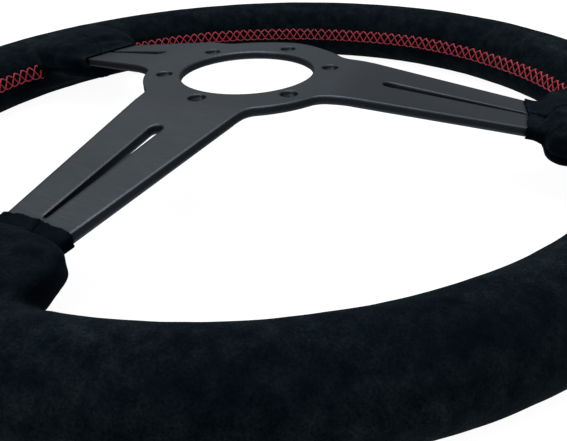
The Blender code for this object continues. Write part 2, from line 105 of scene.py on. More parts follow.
# Padded bosses round the spoke ends: how far their inner face stands above and
# below the plate's back face, the heights of their widest place and bottom, how
# square their section is above and below, and its size for rough distances
BOSS_RISE = 1.9
BOSS_SINK = 6.2
BOSS_MIDDLE = 25.0
BOSS_BOTTOM = 13.7
BACK_POWER = 3.3
FRONT_POWER = 2.5
BOSS_SIZE = 9.0

# How a boss changes on its way into the rim: by how much, from and to what reach
BOSS_WIDENS = (1.5, 126, 144)
BOSS_TOP_DROPS = (1.3, 138, 158)
BOSS_MIDDLE_DROPS = (6.0, 134, 158)
BOSS_BOTTOM_DROPS = (8.0, 124, 160)

# Lacing: the lean of its seam in degrees at angles round the wheel, half the
# angle that it spans on the grip's section, its stitches and its thread
SEAM_LEAN = (
    (13, 8.0), (30, 7.5), (45, 6.0), (58, 3.5), (80, 3.5), (95, 1.0), (118, 1.0), (135, 3.0),
    (150, 2.5), (167, 6.0), (176, 9.5), (186, 8.0), (215, 5.0), (270, 4.0), (325, 5.0),
)
LACING_HALF = math.radians(11.8)
STITCH_PITCH = 4.5
THREAD_RADIUS = 0.30
THREAD_STEPS = 19
THREAD_SIDES = 8

# Suede: the size of its faces before they are refined, and how a collar wraps
# its spoke
GRID_STEP = 1.15
COLLAR_OFFSET = 0.95
COLLAR_SIDE_GAP = 0.3
COLLAR_CORNER = 2.0
FLAP_THICKNESS = 0.80

# A collar's cut end is turned in by steps: how far inward and how far outward
# along the spoke
COLLAR_TURNS = ((0.12, -0.1), (FLAP_THICKNESS, 0.05), (0.0, 2.5))

# Each spoke:
#   angle, bend: its direction, and the reach at which it bends
#   boss, lip: the reach of the boss's inner face, and how far that face is wider
#     than the plate
#   width, swell: how wide the boss gets on either side, and over what length
#   top, rise: how high it gets, and over what length
#   edge, soft, blend: how rounded its inner edge is, and how softly it meets the
#     collar and the rim
#   seam, seam_depth: the seam along it as (reach, across) points
#   cut: the collar's cut end as (across, reach) points
#   lap: how far one flap stands over the other
#   painted shade table: painted light and shade on its back as (reach, shade) points, darker on
#       the collar under the boss's lip and on faces turned from the light, lighter on lips and
#       tops
SPOKES = {
    "right": dict(
        angle=math.radians(13),
        bend=45.0,
        boss=118.6,
        lip=2.0,
        width=(24.3, 25.8),
        swell=(2.6, 3.2),
        top=32.5,
        rise=1.4,
        edge=3.0,
        soft=4.0,
        blend=3.0,
        seam=(
            (109.0, 0.2), (112.0, -0.4), (116.0, -2.0), (118.2, -4.6), (119.4, -7.4),
            (120.6, -6.6), (122.3, -2.8), (124.5, -1.2), (128.0, -1.0), (162.0, -1.0),
        ),
        seam_depth=1.3,
        cut=((-17.0, 112.8), (-4.0, 113.4), (6.0, 112.9), (17.0, 112.1)),
        lap=0.0,
        painted_light_and_shade=((112.0, 0.85), (117.5, 0.9), (120.5, 1.0), (140.0, 1.0)),
    ),
    "left": dict(
        angle=math.radians(167),
        bend=44.5,
        boss=109.2,
        lip=2.0,
        width=(27.5, 22.5),
        swell=(9.0, 6.0),
        top=33.6,
        rise=6.5,
        edge=3.0,
        soft=3.0,
        blend=8.0,
        seam=(
            (101.0, 5.6), (106.5, 4.6), (110.0, 3.2), (114.0, 1.4), (118.0, 0.2),
            (126.0, -1.1), (135.0, -1.4), (162.0, -1.0),
        ),
        seam_depth=0.6,
        cut=((-17.0, 105.2), (0.0, 105.3), (10.0, 104.2), (17.0, 103.0)),
        lap=0.0,
        painted_light_and_shade=((103.0, 1.0), (108.0, 1.15), (110.5, 0.6), (119.0, 0.5), (127.0, 1.0), (140.0, 1.2)),
    ),
    "lower": dict(
        angle=math.radians(270),
        bend=39.5,
        boss=121.0,
        lip=0.9,
        width=(25.0, 25.0),
        swell=(2.9, 2.9),
        top=32.5,
        rise=4.5,
        edge=1.0,
        soft=0.6,
        blend=2.5,
        seam=(
            (112.0, 0.2), (116.0, 1.8), (120.0, 2.9), (123.0, 2.6), (128.0, 1.0),
            (140.0, 0.0), (162.0, 0.0),
        ),
        seam_depth=0.2,
        cut=((-17.0, 116.4), (-9.0, 115.4), (1.0, 115.2), (10.0, 115.5), (17.0, 116.0)),
        lap=0.8,
        painted_light_and_shade=((114.0, 0.6), (120.6, 0.5), (121.4, 0.8), (126.0, 0.9), (140.0, 1.05)),
    ),
}
ORDER = ("right", "left", "lower")

# Painted light and shade round the grip's section, from its inner side at 0
# degrees over its top at 90: each side lighter or darker as light falls on it
PAINTED_LIGHT_ROUND = (
    (-90, 1.1), (0, 0.85), (25, 0.7), (45, 0.7), (65, 1.05), (85, 0.95), (110, 0.62), (130, 0.62),
    (150, 0.9), (165, 1.3), (180, 1.7),
)

# Creases: their spoke, start and end as (reach, across), depth and width
CREASES = (
    ("lower", (141.0, 24.0), (147.0, 42.0), 0.40, 1.3),
    ("lower", (128.0, -12.0), (137.0, -3.0), 0.30, 1.4),
    ("left", (132.0, 2.0), (139.0, -6.0), 0.35, 0.9),
    ("left", (116.0, 10.0), (115.0, -18.0), 0.90, 3.2),
    ("left", (111.5, -3.0), (118.0, -5.5), 0.35, 0.9),
    ("left", (113.0, 14.0), (126.0, 20.0), 0.30, 1.6),
    ("right", (122.0, 10.0), (131.0, 14.0), 0.28, 1.5),
    ("right", (121.0, -8.0), (128.0, -16.0), 0.28, 1.5),
)

# Runs of lacing: the spokes they run between, each with the degrees kept clear
LACING_RUNS = {
    "upper": ("right", 10.0, "left", 10.0),
    "lower_left": ("left", 8.9, "lower", 11.2),
    "lower_right": ("lower", 11.2, "right", 8.9),
}


# ---------------------------------------------------------------- fields


def smooth_step(x, low, high):
    """Rises smoothly from 0 at low to 1 at high."""
    t = np.clip((x - low) / (high - low), 0, 1)
    return t * t * (3 - 2 * t)


def ridge(away, width, middle=0.0):
    """A smooth ridge, 1 high where the distance away is middle."""
    return np.exp(-(((away - middle) / width) ** 2))


def smooth_low(a, b, size):
    """The lower of two fields, rounded where they meet."""
    share = np.clip(0.5 + 0.5 * (b - a) / size, 0, 1)
    return b + (a - b) * share - size * share * (1 - share)


def smooth_high(a, b, size):
    """The higher of two fields, rounded where they meet."""
    return -smooth_low(-a, -b, size)


def along_across(spoke, points):
    """Distance along a spoke and across it, for points in the wheel's frame."""
    c = math.cos(spoke["angle"])
    s = math.sin(spoke["angle"])
    reach = points[..., 0] * c + points[..., 1] * s
    across = points[..., 1] * c - points[..., 0] * s
    return reach, across


def spoke_axes(spoke):
    """Directions along a spoke and across it."""
    out = Vector((math.cos(spoke["angle"]), math.sin(spoke["angle"]), 0))
    return out, Vector((-out.y, out.x, 0))


def plate_top(spoke, reach):
    """Height of the plate's back face beyond the bend."""
    return HUB_BACK - SPOKE_SLOPE * (reach - spoke["bend"])


def plate_half_width(reach):
    """Half the plate's width at a distance along a spoke."""
    return SPOKE_HALF_WIDTH - SPOKE_TAPER * (reach - WIDTH_REACH)


def comes_in(reach, change, start, end):
    """A change that comes in smoothly between two distances along a spoke."""
    return change * smooth_step(reach, start, end)


def boss_field(spoke, points):
    """Below zero inside a boss: a squarish section that swells from a face
    round the spoke, and sinks into the rim."""
    reach, across = along_across(spoke, points)
    height = points[..., 2]
    begin = spoke["boss"]
    inward = np.maximum(reach - begin, 0)
    lip = plate_half_width(begin) + spoke["lip"]
    rise = plate_top(spoke, begin) + BOSS_RISE
    sink = plate_top(spoke, begin) - BOSS_SINK
    width = np.where(across < 0, *spoke["width"])
    swell = np.where(across < 0, *spoke["swell"])
    wide = lip + (width - lip) * (1 - np.exp(-inward / swell))
    wide = wide + comes_in(reach, *BOSS_WIDENS)
    top = rise + (spoke["top"] - rise) * (1 - np.exp(-inward / spoke["rise"]))
    top = top - comes_in(reach, *BOSS_TOP_DROPS)
    bottom = BOSS_BOTTOM + (sink - BOSS_BOTTOM) * np.exp(-inward / 1.8)
    bottom = bottom - comes_in(reach, *BOSS_BOTTOM_DROPS)
    middle = BOSS_MIDDLE - comes_in(reach, *BOSS_MIDDLE_DROPS)
    above = height > middle
    power = np.where(above, BACK_POWER, FRONT_POWER)
    tall = np.where(above, top - middle, middle - bottom)
    ratio = (np.abs(across) / wide) ** power + (np.abs(height - middle) / tall) ** power
    side = (ratio ** (1 / power) - 1) * BOSS_SIZE
    body = smooth_high(side, begin - reach, spoke["edge"])
    # It ends inside the rim
    return smooth_high(body, reach - RIM_RADIUS - 1, 4.0)


def collar_field(spoke, points):
    """Below zero inside the suede collar and the spoke that it wraps."""
    reach, across = along_across(spoke, points)
    middle = plate_top(spoke, reach) - PLATE_THICKNESS / 2
    wide = plate_half_width(reach) + COLLAR_OFFSET + COLLAR_SIDE_GAP - COLLAR_CORNER
    tall = PLATE_THICKNESS / 2 + COLLAR_OFFSET - COLLAR_CORNER
    out = np.abs(across) - wide
    up = np.abs(points[..., 2] - middle) - tall
    corner = np.hypot(np.maximum(out, 0), np.maximum(up, 0))
    side = corner + np.minimum(np.maximum(out, up), 0) - COLLAR_CORNER
    # It starts before its cut end, which is trimmed later, and ends in the boss
    begin = min(cut_reach for _, cut_reach in spoke["cut"]) - 3
    side = np.maximum(side, begin - reach)
    return np.maximum(side, reach - spoke["boss"] - 12)


def grip_field(points):
    """Below zero inside the grip: the round rim, its bosses and collars."""
    radial = np.hypot(points[..., 0], points[..., 1])
    height = points[..., 2]
    field = np.hypot(radial - RIM_RADIUS, height - RIM_HEIGHT) - GRIP_RADIUS
    for key in ORDER:
        spoke = SPOKES[key]
        reach, across = along_across(spoke, points)
        near = (reach > spoke["boss"] - 14) & (np.abs(across) < 50)
        if near.any():
            zone = points[near]
            boss = boss_field(spoke, zone)
            boss = smooth_low(boss, collar_field(spoke, zone), spoke["soft"])
            # It flows into the rim's side softly, but not over its top or bottom
            height = zone[..., 2]
            low = np.clip((31.5 - height) / 9, 0, 1) * smooth_step(height, 3, 9)
            field[near] = smooth_low(field[near], boss, 0.8 + spoke["blend"] * low)
    return field


def gradient(points):
    """Unit outward direction of the grip's surface, and the field's slope."""
    step = 0.05
    slope = np.empty_like(points)
    for axis in range(3):
        offset = np.zeros(3)
        offset[axis] = step
        slope[:, axis] = (grip_field(points + offset) - grip_field(points - offset)) / (2 * step)
    size = np.linalg.norm(slope, axis=1)
    return slope / size[:, None], size


def settle(points):
    """Moves points onto the grip's surface."""
    for _ in range(4):
        direction, size = gradient(points)
        shift = np.clip(grip_field(points) / size, -0.8, 0.8)
        points = points - direction * shift[:, None]
    return points


# ------------------------------------------------------------- grip mesh


def surface_net(low, high, step):
    """Quads over the zero surface of the grip's field, one vertex a cell."""
    axes = [np.arange(a, b, step) for a, b in zip(low, high)]
    grid = np.stack(np.meshgrid(*axes, indexing="ij"), axis=-1)
    field = grip_field(grid)
    shape = np.array(field.shape)
    cells = shape - 1
    total = int(np.prod(cells))
    sums = np.zeros((total, 3))
    counts = np.zeros(total)
    crossings = []

    def flat(index):
        return (index[:, 0] * cells[1] + index[:, 1]) * cells[2] + index[:, 2]

    for axis in range(3):
        first = [slice(None)] * 3
        second = [slice(None)] * 3
        first[axis] = slice(0, -1)
        second[axis] = slice(1, None)
        a = field[tuple(first)]
        b = field[tuple(second)]
        where = np.argwhere((a < 0) != (b < 0))
        low_value = a[tuple(where.T)]
        high_value = b[tuple(where.T)]
        spot = where.astype(float)
        spot[:, axis] += low_value / (low_value - high_value)
        one = (axis + 1) % 3
        two = (axis + 2) % 3
        corners = []
        for i, j in ((0, 0), (1, 0), (1, 1), (0, 1)):
            cell = where.copy()
            cell[:, one] -= i
            cell[:, two] -= j
            number = flat(cell)
            corners.append(number)
            for part in range(3):
                sums[:, part] += np.bincount(number, spot[:, part], total)
            counts += np.bincount(number, minlength=total)
        quads = np.stack(corners, axis=1)
        turned = low_value >= 0
        quads[turned] = quads[turned][:, ::-1]
        crossings.append(quads)
    used = counts > 0
    index = np.cumsum(used) - 1
    points = sums[used] / counts[used][:, None] * step + np.array(low)
    return points, index[np.concatenate(crossings)]


def seam_across(spoke, reach):
    """How far the boss's seam lies to the side at a distance along the spoke."""
    reaches, offsets = zip(*spoke["seam"])
    return np.interp(reach, reaches, offsets)


def lacing_arc(name):
    """Start and end angle of a run of lacing."""
    first, clear_first, second, clear_second = LACING_RUNS[name]
    start = SPOKES[first]["angle"] + math.radians(clear_first)
    end = SPOKES[second]["angle"] - math.radians(clear_second)
    return start, start + (end - start) % (2 * math.pi)


def lacing_window(points, soft):
    """One inside the runs of lacing, falling to zero past their ends."""
    turn = np.arctan2(points[:, 1], points[:, 0])
    window = np.zeros(len(points))
    for name in LACING_RUNS:
        start, end = lacing_arc(name)
        middle = (start + end) / 2
        away = np.abs((turn - middle + math.pi) % (2 * math.pi) - math.pi)
        over = (away - (end - start) / 2) * RIM_RADIUS
        window = np.maximum(window, 1 - smooth_step(over, 0, soft))
    return window


def seam_angle(turn):
    """Angle round the rim's section at which the lacing's seam lies."""
    around, lean = zip(*SEAM_LEAN)
    return np.radians(np.interp(np.degrees(turn) % 360, around, lean, period=360))


def from_lacing(points):
    """Signed distance across the lacing's seam along the grip's surface."""
    radial = np.hypot(points[:, 0], points[:, 1])
    turn = np.arctan2(points[:, 1], points[:, 0])
    around = np.arctan2(points[:, 2] - RIM_HEIGHT, RIM_RADIUS - radial)
    return (around - seam_angle(turn)) * GRIP_RADIUS


def from_seams(points):
    """Distance to the nearest boss seam, and how deep that seam is there."""
    nearest = np.full(len(points), 1e3)
    depth = np.zeros(len(points))
    for key in ORDER:
        spoke = SPOKES[key]
        reach, across = along_across(spoke, points)
        steep = (seam_across(spoke, reach + 0.3) - seam_across(spoke, reach - 0.3)) / 0.6
        away = np.abs(across - seam_across(spoke, reach)) / np.sqrt(1 + steep**2)
        away = np.where(reach > END_REACH, away, 1e3)
        closer = away < nearest
        # The seam fades out on the rim, and is shallow low on the boss's sides
        fade = 1 - smooth_step(reach, 137, 146)
        fade = fade * (0.3 + 0.7 * smooth_step(points[:, 2], 17, 24))
        nearest = np.where(closer, away, nearest)
        depth = np.where(closer, spoke["seam_depth"] * fade, depth)
    return nearest, depth


def refine(bm, wanted):
    """Halves every edge whose two ends are wanted."""
    points = np.array([vert.co[:] for vert in bm.verts])
    chosen = wanted(points)
    bm.verts.index_update()
    edges = [
        edge for edge in bm.edges
        if chosen[edge.verts[0].index] and chosen[edge.verts[1].index]
    ]
    bmesh.ops.subdivide_edges(bm, edges=edges, cuts=1, use_grid_fill=True)


def near_boss_face(points):
    """Where the grip needs finer faces for a collar and a boss's turned edge."""
    chosen = np.zeros(len(points), bool)
    for key in ORDER:
        reach, across = along_across(SPOKES[key], points)
        inside = (reach > END_REACH) & (reach < SPOKES[key]["boss"] + 9)
        chosen |= inside & (np.abs(across) < 32)
    return chosen


def near_seam(points, width):
    """Where the grip needs finer faces for its seams."""
    lacing = (np.abs(from_lacing(points)) < width) & (lacing_window(points, 2) > 0)
    away, depth = from_seams(points)
    return lacing | ((away < width) & (depth > 0.02))


def cut_warped(bm, chosen, warp, unwarp, normal, clear=False):
    """Cuts part of the mesh along a curve.

    The chosen vertices are warped until the curve lies in a plane through the
    origin, cut there, and put back. The cut's own new vertices are unwarped.
    """
    places = {vert: vert.co.copy() for vert in chosen}
    for vert, place in places.items():
        vert.co = warp(place)
    known = set(bm.verts)
    faces = [face for face in bm.faces if all(vert in places for vert in face.verts)]
    # A dictionary keeps its order, so the mesh comes out the same each run
    geometry = dict.fromkeys(faces)
    for face in faces:
        geometry.update(dict.fromkeys(face.edges))
        geometry.update(dict.fromkeys(face.verts))
    bmesh.ops.bisect_plane(
        bm, geom=list(geometry), plane_co=(0, 0, 0), plane_no=normal, clear_inner=clear
    )
    for vert, place in places.items():
        if vert.is_valid:
            vert.co = place
    for vert in bm.verts:
        if vert not in known:
            vert.co = unwarp(vert.co)


def cut_along_seams(bm):
    """Cuts the mesh along each boss's seam, right round the rim's section."""
    for key in ORDER:
        spoke = SPOKES[key]
        out, normal = spoke_axes(spoke)

        def slide(place):
            radius = place.xy.length
            return float(seam_across(spoke, radius)) / radius

        chosen = [
            vert for vert in bm.verts
            if vert.co.dot(out) > END_REACH and abs(vert.co.dot(normal)) < 30
        ]
        cut_warped(
            bm,
            chosen,
            lambda place: Matrix.Rotation(-slide(place), 3, "Z") @ place,
            lambda place: Matrix.Rotation(slide(place), 3, "Z") @ place,
            normal,
        )


def cut_collars(bm):
    """Trims each collar to its ragged cut end."""
    for number, key in enumerate(ORDER):
        spoke = SPOKES[key]
        out, normal = spoke_axes(spoke)
        across, reaches = zip(*spoke["cut"])

        def cut_reach(place):
            side = place.dot(normal)
            local = np.array([[side, place.z * 1.5, 0.0]])
            ragged = 0.16 * waves(local, 2.2, 50 + number) + 0.16 * waves(local, 6.0, 60 + number)
            return out * float(np.interp(side, across, reaches) + ragged[0])

        limit = spoke["boss"] + 3
        chosen = [
            vert for vert in bm.verts
            if END_REACH < vert.co.dot(out) < limit and abs(vert.co.dot(normal)) < 24
        ]
        cut_warped(
            bm,
            chosen,
            lambda place: place - cut_reach(place),
            lambda place: place + cut_reach(place),
            out,
            clear=True,
        )
        loose = [vert for vert in bm.verts if not vert.link_faces]
        bmesh.ops.delete(bm, geom=loose, context="VERTS")


def waves(points, length, seed):
    """Gentle unevenness between about -1 and 1, the same each run."""
    rng = np.random.default_rng(seed)
    total = np.zeros(len(points))
    count = 9
    for _ in range(count):
        way = rng.normal(size=3)
        way = way / np.linalg.norm(way)
        size = length * rng.uniform(0.7, 1.5)
        total += np.cos(points @ way * (2 * math.pi / size) + rng.uniform(0, 2 * math.pi))
    return total / math.sqrt(count)


def hole_dimples(points):
    """How much the stitches' holes draw the suede in, from 0 to 1."""
    turn = np.arctan2(points[:, 1], points[:, 0])
    across = from_lacing(points)
    row = LACING_HALF * GRIP_RADIUS
    pull = np.zeros(len(points))
    inner = RIM_RADIUS - GRIP_RADIUS
    for name in LACING_RUNS:
        start, end = lacing_arc(name)
        count = stitch_count(name)
        pitch = (end - start) / count
        steps = ((turn - start) % (2 * math.pi)) / pitch
        inside = steps < count + 0.5
        for side, shift in ((1, 0.0), (-1, 0.5)):
            off = (steps - shift + 0.5) % 1 - 0.5
            away = np.hypot(off * pitch * inner, across - side * row)
            pull = np.maximum(pull, np.where(inside, ridge(away, 0.8), 0))
    return pull


def seam_relief(points):
    """The lacing's seam, drawn in by its stitches, and the bosses' seams."""
    across = from_lacing(points)
    window = lacing_window(points, 3)
    valley = -1.1 * ridge(across, 0.5)
    pillow = 0.35 * ridge(np.abs(across), 0.9, 1.7)
    relief = window * (valley + pillow - 0.4 * hole_dimples(points))
    away, depth = from_seams(points)
    relief = relief - depth * ridge(away, 0.4)
    return relief + 0.35 * depth * ridge(away, 0.9, 1.5)


def suede_relief(points):
    """Height of seams, folds and unevenness over the plain grip."""
    relief = seam_relief(points)
    relief = relief + 0.05 * waves(points, 26, 3) + 0.03 * waves(points, 9, 4)
    for key in ORDER:
        spoke = SPOKES[key]
        reach, across = along_across(spoke, points)
        inward = reach - spoke["boss"]
        on_boss = (np.abs(across) < 36) & (inward > -1) & (inward < 44)
        near = on_boss * smooth_step(inward, -1, 3) * (1 - smooth_step(inward, 14, 34))
        relief = relief + near * (0.34 * waves(points, 13, 5) + 0.14 * waves(points, 6, 6))
        if spoke["lap"]:
            # One flap lies over the other flap's edge, along the collar's seam
            under = seam_across(spoke, reach) - across
            step = smooth_step(under, -0.15, 0.25) * np.exp(-np.maximum(under, 0) / 7)
            held = (reach > END_REACH) * (1 - smooth_step(inward, -2.5, 2.5))
            over = points[:, 2] > plate_top(spoke, reach) - 1
            relief = relief + spoke["lap"] * step * held * over
    return relief + crease_relief(points)


def crease_relief(points):
    """Soft creases where the suede was pulled tight over the bosses."""
    relief = np.zeros(len(points))
    for key, start, end, depth, width in CREASES:
        reach, across = along_across(SPOKES[key], points)
        first = np.array(start)
        run = np.array(end) - first
        share = ((reach - first[0]) * run[0] + (across - first[1]) * run[1]) / (run @ run)
        bend = 0.8 * np.sin(share * math.pi)
        held = np.clip(share, 0, 1)
        away_along = reach - first[0] - held * run[0] - bend
        away_across = across - first[1] - held * run[1]
        away = np.hypot(away_along, away_across)
        fade = np.clip(1.15 - np.abs(2 * share - 1), 0, 1)
        top = points[:, 2] > 22
        profile = ridge(away, width) - 0.5 * ridge(away, width, 2 * width)
        relief = relief - depth * profile * fade * top
    return relief


def mottle_and_painted_light(points, direction):
    """Painted light and shade for the suede's colour, about 1, with a broad random
    mottle: each side of the section lighter or darker as light falls, and darker on
    the collars, on the bosses' sides and in their seams."""
    radial = np.hypot(points[:, 0], points[:, 1])
    around = np.degrees(np.arctan2(points[:, 2] - RIM_HEIGHT, RIM_RADIUS - radial))
    angles, shades = zip(*PAINTED_LIGHT_ROUND)
    shade = np.interp(around, angles, shades, period=360)
    shade = shade * (1 + 0.27 * waves(points, 90, 377))
    for key in ORDER:
        spoke = SPOKES[key]
        reach, across = along_across(spoke, points)
        near = reach > END_REACH
        # Painted light and shade along the spoke's back, from its table
        reaches, shades = zip(*spoke["painted_light_and_shade"])
        back = smooth_step(points[:, 2], 19, 26) * (1 - smooth_step(np.abs(across), 19, 30))
        shade = shade * (1 + (np.interp(reach, reaches, shades) - 1) * back * near)
        # Painted shade: near the spoke, faces turned from the overhead light are darker
        side = 1 - smooth_step(direction[:, 2], 0.15, 0.75)
        held = near * (1 - smooth_step(reach, 148, 160))
        held = held * (1 - smooth_step(np.abs(across), 34, 56))
        shade = shade * (1 - 0.6 * side * held)
        if spoke["lap"]:
            # Painted shade on the boss's turned side, and on the lower one of the collar's two
            # flaps
            turned = smooth_step(across - (reach - 127) / 2, 12, 17)
            turned = turned * smooth_step(reach, 120, 123)
            shade = shade * (1 - 0.45 * turned * held)
            under = smooth_step(across - seam_across(spoke, reach), 0, 0.4)
            collar = near * (1 - smooth_step(reach, 120.4, 121.4))
            shade = shade * (1 - 0.35 * under * collar)
    # Painted shade along the bosses' seams
    away, depth = from_seams(points)
    return shade * (1 - np.minimum(depth, 0.85) * ridge(away, 0.6))


def grip_mesh():
    """The whole grip's surface as a bmesh, in millimetres."""
    # Odd offsets keep the grid's points off the surface itself
    reach = OUTER_RADIUS + 3
    top = max(spoke["top"] for spoke in SPOKES.values())
    low = (-reach + 0.31, -reach + 0.17, -2.87)
    high = (reach + 0.3, reach + 0.3, top + 4)
    points, quads = surface_net(low, high, GRID_STEP)
    points = settle(points)
    mesh = bpy.data.meshes.new("grip")
    mesh.from_pydata(points, [], quads.tolist())
    bm = bmesh.new()
    bm.from_mesh(mesh)
    bpy.data.meshes.remove(mesh)
    refine(bm, lambda points: near_boss_face(points) | near_seam(points, 4.5))
    cut_along_seams(bm)
    refine(bm, lambda points: near_seam(points, 1.5))
    cut_collars(bm)
    bmesh.ops.triangulate(bm, faces=[face for face in bm.faces if len(face.verts) > 4])
    bm.verts.index_update()
    points = settle(np.array([vert.co[:] for vert in bm.verts]))
    direction, _ = gradient(points)
    # Painted light and shade, with a broad random mottle, kept on each vertex for the suede's
    # colour
    painted_light_and_shade = bm.verts.layers.float.new("painted_light_and_shade")
    shades = mottle_and_painted_light(points, direction)
    points = points + direction * suede_relief(points)[:, None]
    for vert, point, shade in zip(bm.verts, points, shades):
        vert.co = point
        vert[painted_light_and_shade] = shade
    turn_ends_in(bm)
    return bm


def turn_ends_in(bm):
    """Gives each collar's cut end its thickness, and a short inner face."""
    bm.normal_update()
    for key in ORDER:
        spoke = SPOKES[key]
        out, _ = spoke_axes(spoke)
        middle = Vector((0, 0, plate_top(spoke, spoke["boss"]) - PLATE_THICKNESS / 2))
        edges = [
            edge for edge in bm.edges
            if edge.is_boundary and edge.verts[0].co.dot(out) > END_REACH
        ]
        for depth, along in COLLAR_TURNS:
            made = bmesh.ops.extrude_edge_only(bm, edges=edges)["geom"]
            edges = [item for item in made if isinstance(item, bmesh.types.BMEdge)]
            for vert in {vert for edge in edges for vert in edge.verts}:
                side = vert.co - out * vert.co.dot(out) - middle
                flat = Vector((side.x, side.y, 0))
                if flat.length > plate_half_width(spoke["boss"]) - 1:
                    inner = flat.normalized() + Vector((0, 0, side.z / 6))
                else:
                    inner = Vector((0, 0, side.z)).normalized()
                vert.co += out * along - inner.normalized() * depth


def panel_of(x, y):
    """Which panel a place on the grip belongs to."""
    turn = math.atan2(y, x) % (2 * math.pi)
    radius = math.hypot(x, y)
    bounds = []
    for key in ORDER:
        slide = float(seam_across(SPOKES[key], radius)) / radius
        bounds.append(SPOKES[key]["angle"] + slide)
    if bounds[0] < turn < bounds[1]:
        return "upper"
    if bounds[1] <= turn < bounds[2]:
        return "lower_left"
    return "lower_right"


def make_object(name, mesh, finish):
    """A piece of the wheel, smooth shaded and riding on its body."""
    mesh.materials.append(finish)
    mesh.shade_smooth()
    made = bpy.data.objects.new(name, mesh)
    bpy.context.scene.collection.objects.link(made)
    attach(made, BODY)
    return made


def make_panels(finish):
    """Three panels of suede that stand for the CAD's panels, collars and foam."""
    whole = grip_mesh()
    owner = {}
    for face in whole.faces:
        middle = face.calc_center_median()
        owner[face.index] = panel_of(middle.x, middle.y)
    for name in ("upper", "lower_left", "lower_right"):
        bm = whole.copy()
        bm.faces.ensure_lookup_table()
        others = [face for face in bm.faces if owner[face.index] != name]
        bmesh.ops.delete(bm, geom=others, context="FACES")
        mesh = bpy.data.meshes.new("grip_suede_" + name)
        bm.transform(Matrix.Scale(MM, 4))
        bm.to_mesh(mesh)
        bm.free()
        made = make_object("grip_suede_" + name, mesh, finish)
        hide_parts("suede_panel_" + name)
        if name == "upper":
            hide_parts("foam_back", "foam_front")
            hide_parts("suede_collar_right", "suede_collar_left")
        if name == "lower_left":
            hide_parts("suede_collar_lower")
    whole.free()


# ---------------------------------------------------------------- lacing


def stitch_count(name):
    """Whole stitches in a run of lacing."""
    start, end = lacing_arc(name)
    return round((end - start) * (RIM_RADIUS - GRIP_RADIUS) / STITCH_PITCH)


def tube(path, radius, sides):
    """Rings of points round a path, and how far along it each ring is."""
    ahead = np.gradient(path, axis=0)
    ahead /= np.linalg.norm(ahead, axis=1)[:, None]
    out = path - np.array((0, 0, RIM_HEIGHT))
    out[:, 2] = 0
    across = np.cross(ahead, out)
    across /= np.linalg.norm(across, axis=1)[:, None]
    up = np.cross(across, ahead)
    turns = np.arange(sides) * 2 * math.pi / sides
    spread = np.cos(turns)[None, :, None] * across[:, None, :]
    spread = spread + np.sin(turns)[None, :, None] * up[:, None, :]
    gaps = np.linalg.norm(np.diff(path, axis=0), axis=1)
    return path[:, None, :] + radius * spread, np.concatenate(([0], np.cumsum(gaps)))


def thread_paths(name):
    """Middle lines of a run's threads, over the grip's surface.

    Two threads leave every hole of the upper row, one to each side. Each one
    crosses its neighbours twice and sinks into a hole of the lower row, one
    and a half stitches on.
    """
    start, end = lacing_arc(name)
    count = stitch_count(name)
    pitch = (end - start) / count
    rng = np.random.default_rng(len(name))
    share = np.linspace(0, 1, THREAD_STEPS)
    # Its neighbours pull each thread off its straight line at both crossings
    fall = np.interp(share, (0, 1 / 3, 2 / 3, 1), (0, 0.31, 0.83, 1))
    ends = np.minimum(share, 1 - share)
    dive = -1.3 * ridge(ends, 0.05)
    bases = []
    lifts = []
    for number in range(count + 1):
        for way in (1, -1):
            last = number + 1.5 * way
            if not -0.51 <= last <= count + 0.51:
                continue
            # Hand-made stitches aren't quite evenly spaced
            slip = rng.normal(0, 0.045, 2)
            place = number + slip[0] + (last + slip[1] - number - slip[0]) * share
            turn = start + place * pitch
            around = seam_angle(turn) + LACING_HALF * (1 - 2 * fall)
            radial = RIM_RADIUS - GRIP_RADIUS * np.cos(around)
            height = RIM_HEIGHT + GRIP_RADIUS * np.sin(around)
            bases.append(np.stack((radial * np.cos(turn), radial * np.sin(turn), height), axis=1))
            weave = -0.2 * way * np.sin(math.pi * np.minimum(1, 3 * ends))
            lifts.append(0.34 + dive + weave)
    bases = np.array(bases)
    points = settle(bases.reshape(-1, 3))
    direction, _ = gradient(points)
    points = points + direction * np.array(lifts).reshape(-1, 1)
    return points.reshape(bases.shape)


def make_lacing(name, finish):
    """Every thread of one run of lacing, as tubes in one mesh."""
    sides = THREAD_SIDES
    verts = []
    faces = []
    uvs = []
    for path in thread_paths(name):
        rings, lengths = tube(path, THREAD_RADIUS, sides)
        base = len(verts)
        verts.extend((rings.reshape(-1, 3) * MM).tolist())
        for i in range(THREAD_STEPS - 1):
            for j in range(sides):
                k = (j + 1) % sides
                a = base + i * sides
                faces.append((a + j, a + k, a + sides + k, a + sides + j))
                for row, column in ((i, j), (i, j + 1), (i + 1, j + 1), (i + 1, j)):
                    uvs.append((column / sides, lengths[row]))
        faces.append(tuple(range(base + sides - 1, base - 1, -1)))
        uvs.extend([(0.0, 0.0)] * sides)
        tip = base + (THREAD_STEPS - 1) * sides
        faces.append(tuple(range(tip, tip + sides)))
        uvs.extend([(0.0, 0.0)] * sides)
    mesh = bpy.data.meshes.new("lacing_thread_" + name)
    mesh.from_pydata(verts, [], faces)
    layer = mesh.uv_layers.new(name="thread")
    layer.data.foreach_set("uv", np.array(uvs, np.float32).ravel())
    made = make_object("lacing_thread_" + name, mesh, finish)
    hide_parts("lacing_" + name)


# ------------------------------------------------------------- materials


